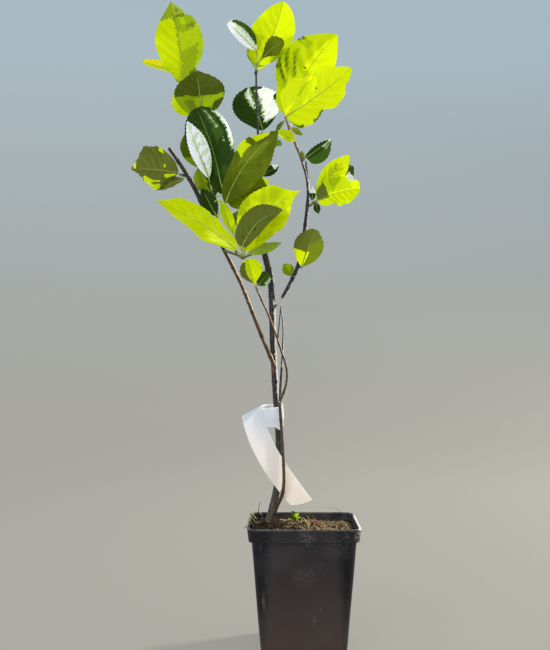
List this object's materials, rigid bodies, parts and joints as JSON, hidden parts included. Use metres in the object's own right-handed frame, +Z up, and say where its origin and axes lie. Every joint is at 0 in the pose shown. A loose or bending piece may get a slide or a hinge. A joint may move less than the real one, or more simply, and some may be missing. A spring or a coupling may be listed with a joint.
{
  "type": "potted chokeberry",
  "caption": "Young chokeberry shrub in a square black nursery pot: slim trunk and shoots, broad toothed lime and dark leaves, and a blank white loop tag.",
  "frame": {"origin": "centre of the pot's flat underside, which rests on the ground or a bench", "axes": "+Z up along the plant's height, which is the longest extent; the viewer of the picture is on the -Y side with +X to the right"},
  "size_m": [0.1876, 0.1029, 0.5406],
  "materials": {
    "pot_plastic": "black moulded plastic, dull sheen, light scuffs and dust",
    "compost": "dark crumbly compost with dry straw and fibres on top",
    "old_bark": "dark grey-brown smooth bark with small pale lenticels",
    "young_bark": "brown young bark, slightly glossy",
    "leaf": "glossy broad leaf with finely toothed edge, lime to dark green",
    "tag_film": "thin white plastic film, blank"
  },
  "bodies": {
    "root": {"pot": "pot_plastic", "soil": "compost", "trunk": "old_bark", "left_bough": "young_bark", "left_spur": "young_bark", "right_bough": "young_bark", "basal_shoot": "young_bark", "arching_shoot": "young_bark", "straight_shoot": "young_bark", "loop_tag": "tag_film", "left_low_leaves": "leaf", "left_middle_leaves": "leaf", "left_top_leaves": "leaf", "left_outer_leaves": "leaf", "front_leaves": "leaf", "shoot_tip_leaves": "leaf", "leader_tip_leaves": "leaf", "leader_side_leaf": "leaf", "leader_low_leaf": "leaf", "far_low_leaf": "leaf", "far_left_leaf": "leaf", "far_right_leaf": "leaf", "right_top_leaves": "leaf", "right_small_leaf": "leaf", "right_middle_leaves": "leaf", "right_low_leaf": "leaf", "right_lowest_leaf": "leaf"}
  },
  "joints": []
}
